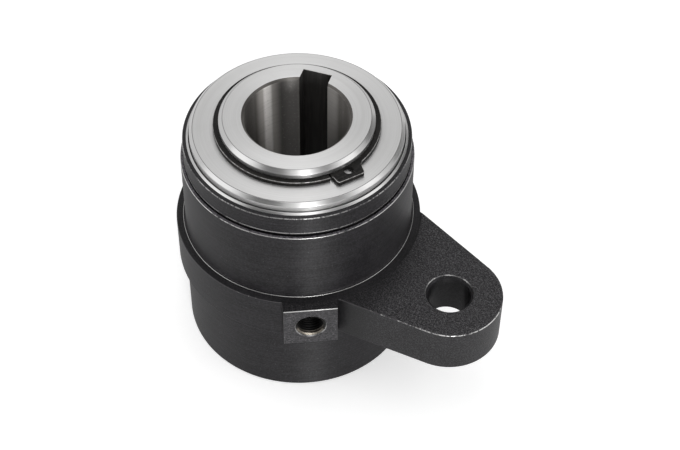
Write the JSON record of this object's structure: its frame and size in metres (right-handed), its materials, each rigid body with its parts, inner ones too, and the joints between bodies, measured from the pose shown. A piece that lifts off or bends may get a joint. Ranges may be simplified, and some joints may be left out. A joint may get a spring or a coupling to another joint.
{
  "type": "overrunning clutch",
  "caption": "Roller overrunning clutch with keyed hub, end cap, rotating cover, retaining ring and a torque arm with a pin hole.",
  "frame": {"origin": "on the shaft's axis, at the middle of the hub's bore", "axes": "+Z along the shaft's axis towards the covered top end; +X from the shaft's axis along the torque arm; the rim of the foot lies 47.5 mm below the origin"},
  "size_m": [0.1236, 0.0846, 0.094],
  "materials": {
    "phosphated_housing": "black phosphate on machined and cast surfaces, satin, worn bright on its edges",
    "phosphated_cap": "turned, black phosphate, with a bright machined end face",
    "blackened_spring_steel": "oiled black spring steel",
    "ground_steel": "fine turned and ground bright steel",
    "hardened_steel": "hardened and ground steel",
    "spring_steel": "cold rolled spring strip",
    "bearing_bronze": "sintered bearing bronze",
    "seal_rubber": "matt black nitrile rubber"
  },
  "bodies": {
    "housing": {"housing": "phosphated_housing", "outer_race": "hardened_steel", "end_cap": "phosphated_cap", "cap_o_ring": "seal_rubber", "upper_bush": "bearing_bronze", "lower_bush": "bearing_bronze", "upper_seal": "seal_rubber", "lower_seal": "seal_rubber"},
    "hub": {"inner_race": "ground_steel", "top_cover": "ground_steel", "top_retaining_ring": "blackened_spring_steel", "bottom_cover": "ground_steel", "bottom_retaining_ring": "blackened_spring_steel", "lower_guide_plate": "hardened_steel", "upper_guide_plate": "hardened_steel", "roller_spring_1": "spring_steel", "roller_spring_2": "spring_steel", "roller_spring_3": "spring_steel", "roller_spring_4": "spring_steel", "roller_spring_5": "spring_steel", "roller_spring_6": "spring_steel", "roller_spring_7": "spring_steel", "roller_spring_8": "spring_steel"},
    "rollers": {"roller_1": "hardened_steel", "roller_2": "hardened_steel", "roller_3": "hardened_steel", "roller_4": "hardened_steel", "roller_5": "hardened_steel", "roller_6": "hardened_steel", "roller_7": "hardened_steel", "roller_8": "hardened_steel"}
  },
  "joints": [
    {"name": "hub_overrun", "type": "hinge", "parent": "housing", "child": "hub", "pos_m": [0, 0, 0], "axis": [0, 0, 1], "range_deg": [0, 1170]},
    {"name": "rollers_release", "type": "hinge", "parent": "hub", "child": "rollers", "pos_m": [0, 0, 0], "axis": [0, 0, -1], "range_deg": [0, 2.4], "stiffness_Nm_per_rad": 0.5, "springref_deg": -5.73, "deforming": ["roller_spring_1", "roller_spring_2", "roller_spring_3", "roller_spring_4", "roller_spring_5", "roller_spring_6", "roller_spring_7", "roller_spring_8"]}
  ]
}
